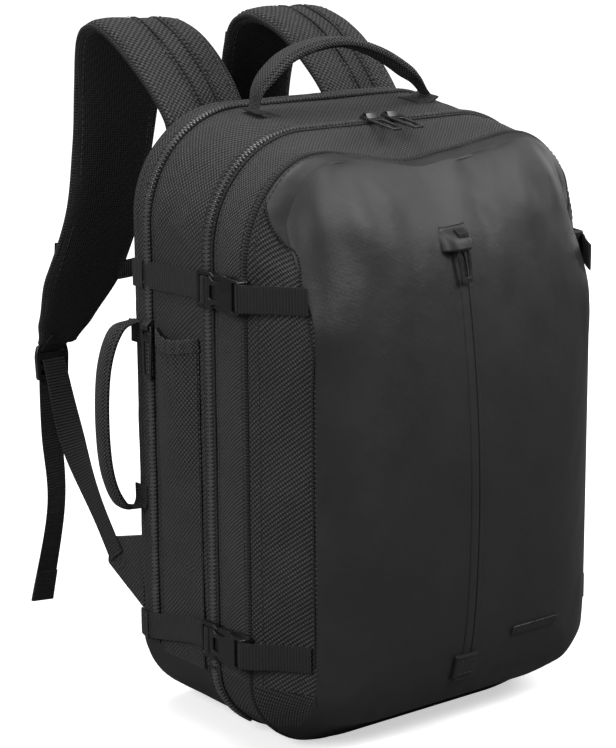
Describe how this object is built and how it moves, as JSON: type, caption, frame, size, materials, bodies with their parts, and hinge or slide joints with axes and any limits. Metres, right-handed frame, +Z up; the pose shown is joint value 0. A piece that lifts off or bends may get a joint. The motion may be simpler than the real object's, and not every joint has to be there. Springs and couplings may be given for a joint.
{
  "type": "travel backpack",
  "caption": "Cabin-size travel backpack with a fold-out front cover, laptop compartment, side compression straps, clips, carrying handles and padded shoulder straps.",
  "frame": {"origin": "on the floor plane, under the middle of the body's width, on the flat underside of the base tray", "axes": "+Z up, -Y towards the front panel, +Y towards the shoulder straps and the wearer's back, +X towards the bag's right side seen from the front"},
  "size_m": [0.3605, 0.3533, 0.5188],
  "materials": {
    "twill": "matte woven twill",
    "coated_cloth": "smooth satin coated cloth",
    "air_mesh": "open spacer mesh",
    "pocket_cloth": "plain lining cloth",
    "webbing": "ribbed woven webbing",
    "zip_coil": "nylon coil on woven tape",
    "buckle_plastic": "fine moulded satin",
    "badge_plastic": "satin, plain"
  },
  "bodies": {
    "rear_body": {"back_panel": "air_mesh", "base_tab_left": "twill", "base_tab_right": "twill", "base_tray": "coated_cloth", "laptop_band": "twill", "laptop_divider": "pocket_cloth", "laptop_zip": "zip_coil", "lower_webbing_left": "webbing", "lower_webbing_right": "webbing", "main_shell": "twill", "main_zip_rear": "zip_coil", "side_pocket_left": "twill", "side_pocket_right": "twill", "strap_rear_lower_left": "webbing", "strap_rear_lower_right": "webbing", "strap_rear_upper_left": "webbing", "strap_rear_upper_right": "webbing"},
    "front_cover": {"cover_band": "twill", "piping": "webbing", "front_gusset": "twill", "front_panel": "coated_cloth", "pocket_lining": "pocket_cloth", "main_zip_front": "zip_coil", "front_zip": "zip_coil", "zip_hood": "twill", "zip_end_tab": "coated_cloth", "badge": "badge_plastic", "clip_female_lower_left": "buckle_plastic", "clip_female_lower_right": "buckle_plastic", "clip_female_upper_left": "buckle_plastic", "clip_female_upper_right": "buckle_plastic", "strap_front_lower_left": "webbing", "strap_front_lower_right": "webbing", "strap_front_upper_left": "webbing", "strap_front_upper_right": "webbing"},
    "main_slider_left_body": {"main_left_slider": "buckle_plastic"},
    "main_puller_left_body": {"main_left_puller": "buckle_plastic"},
    "main_slider_right_body": {"main_right_slider": "buckle_plastic"},
    "main_puller_right_body": {"main_right_puller": "buckle_plastic"},
    "front_slider_body": {"front_slider": "buckle_plastic"},
    "front_puller_body": {"front_puller": "buckle_plastic"},
    "laptop_slider_body": {"laptop_slider": "buckle_plastic"},
    "laptop_puller_body": {"laptop_puller": "buckle_plastic"},
    "top_handle_body": {"top_handle": "webbing"},
    "side_handle_body": {"side_handle": "webbing"},
    "strap_left_body": {"shoulder_strap_left": "air_mesh"},
    "strap_right_body": {"shoulder_strap_right": "air_mesh"},
    "lock_left_body": {"ladder_lock_left": "buckle_plastic"},
    "lock_right_body": {"ladder_lock_right": "buckle_plastic"},
    "tail_left_body": {"webbing_tail_left": "webbing"},
    "tail_right_body": {"webbing_tail_right": "webbing"},
    "sternum_left_body": {"sternum_webbing_left": "webbing", "sternum_clip_female": "buckle_plastic"},
    "sternum_right_body": {"sternum_webbing_right": "webbing"},
    "sternum_male_body": {"sternum_clip_male": "buckle_plastic"},
    "clip_upper_left_body": {"clip_male_upper_left": "buckle_plastic"},
    "clip_upper_right_body": {"clip_male_upper_right": "buckle_plastic"},
    "clip_lower_left_body": {"clip_male_lower_left": "buckle_plastic"},
    "clip_lower_right_body": {"clip_male_lower_right": "buckle_plastic"}
  },
  "joints": [
    {"name": "cover_hinge", "type": "hinge", "parent": "rear_body", "child": "front_cover", "pos_m": [0, -0.097, 0.051], "axis": [1, 0, 0], "range_deg": [0, 90]},
    {"name": "main_slider_left_slide", "type": "slide", "parent": "front_cover", "child": "main_slider_left_body", "axis": [-1, 0, 0], "range_m": [0, 0.055]},
    {"name": "main_puller_left_hinge", "type": "hinge", "parent": "main_slider_left_body", "child": "main_puller_left_body", "pos_m": [-0.01, 0.0036, 0.4537], "axis": [-1, 0, 0], "range_deg": [0, 130]},
    {"name": "main_slider_right_slide", "type": "slide", "parent": "front_cover", "child": "main_slider_right_body", "axis": [1, 0, 0], "range_m": [0, 0.055]},
    {"name": "main_puller_right_hinge", "type": "hinge", "parent": "main_slider_right_body", "child": "main_puller_right_body", "pos_m": [0.01, 0.0036, 0.4537], "axis": [-1, 0, 0], "range_deg": [0, 130]},
    {"name": "front_slider_track", "type": "hinge", "parent": "front_cover", "child": "front_slider_body", "pos_m": [0, 0.811, 0.18], "axis": [1, 0, 0], "range_deg": [0, 16.6]},
    {"name": "front_puller_hinge", "type": "hinge", "parent": "front_slider_body", "child": "front_puller_body", "pos_m": [0, -0.0885, 0.3762], "axis": [-1, 0, 0], "range_deg": [0, 110]},
    {"name": "laptop_slider_slide", "type": "slide", "parent": "rear_body", "child": "laptop_slider_body", "axis": [0, 0, -1], "range_m": [0, 0.15]},
    {"name": "laptop_puller_hinge", "type": "hinge", "parent": "laptop_slider_body", "child": "laptop_puller_body", "pos_m": [-0.1597, 0.079, 0.304], "axis": [0, 1, 0], "range_deg": [0, 110]},
    {"name": "top_handle_hinge", "type": "hinge", "parent": "rear_body", "child": "top_handle_body", "pos_m": [0, 0.048, 0.4655], "axis": [-1, 0, 0], "range_deg": [-55, 35]},
    {"name": "side_handle_hinge", "type": "hinge", "parent": "rear_body", "child": "side_handle_body", "pos_m": [-0.163, 0.096, 0.238], "axis": [0, 0, -1], "range_deg": [-45, 70]},
    {"name": "strap_left_hinge", "type": "hinge", "parent": "rear_body", "child": "strap_left_body", "pos_m": [-0.078, 0.115, 0.448], "axis": [1, 0, 0], "range_deg": [0, 25]},
    {"name": "strap_right_hinge", "type": "hinge", "parent": "rear_body", "child": "strap_right_body", "pos_m": [0.076, 0.115, 0.448], "axis": [1, 0, 0], "range_deg": [0, 25]},
    {"name": "lock_left_hinge", "type": "hinge", "parent": "strap_left_body", "child": "lock_left_body", "pos_m": [-0.154, 0.222, 0.264], "axis": [1, 0, 0], "range_deg": [0, 30]},
    {"name": "lock_right_hinge", "type": "hinge", "parent": "strap_right_body", "child": "lock_right_body", "pos_m": [0.1, 0.23, 0.264], "axis": [1, 0, 0], "range_deg": [0, 30]},
    {"name": "tail_left_hinge", "type": "hinge", "parent": "lock_left_body", "child": "tail_left_body", "pos_m": [-0.154, 0.2255, 0.237], "axis": [1, 0, 0], "range_deg": [-8, 30]},
    {"name": "tail_right_hinge", "type": "hinge", "parent": "lock_right_body", "child": "tail_right_body", "pos_m": [0.1, 0.2335, 0.237], "axis": [1, 0, 0], "range_deg": [-8, 30]},
    {"name": "sternum_left_slide", "type": "slide", "parent": "strap_left_body", "child": "sternum_left_body", "axis": [0, 0.08, -0.9968], "range_m": [-0.012, 0.03]},
    {"name": "sternum_right_slide", "type": "slide", "parent": "strap_right_body", "child": "sternum_right_body", "axis": [0, 0.08, -0.9968], "range_m": [-0.012, 0.03]},
    {"name": "sternum_clip_slide", "type": "slide", "parent": "sternum_left_body", "child": "sternum_male_body", "axis": [-1, 0, 0], "range_m": [0, 0.02]},
    {"name": "clip_upper_left_slide", "type": "slide", "parent": "rear_body", "child": "clip_upper_left_body", "axis": [0, 1, 0], "range_m": [0, 0.03]},
    {"name": "clip_upper_right_slide", "type": "slide", "parent": "rear_body", "child": "clip_upper_right_body", "axis": [0, 1, 0], "range_m": [0, 0.03]},
    {"name": "clip_lower_left_slide", "type": "slide", "parent": "rear_body", "child": "clip_lower_left_body", "axis": [0, 1, 0], "range_m": [0, 0.03]},
    {"name": "clip_lower_right_slide", "type": "slide", "parent": "rear_body", "child": "clip_lower_right_body", "axis": [0, 1, 0], "range_m": [0, 0.03]}
  ],
  "couplings": [
    {"joint": "strap_right_hinge", "follows": "strap_left_hinge", "ratio": 1},
    {"joint": "sternum_right_slide", "follows": "sternum_left_slide", "ratio": 1}
  ]
}
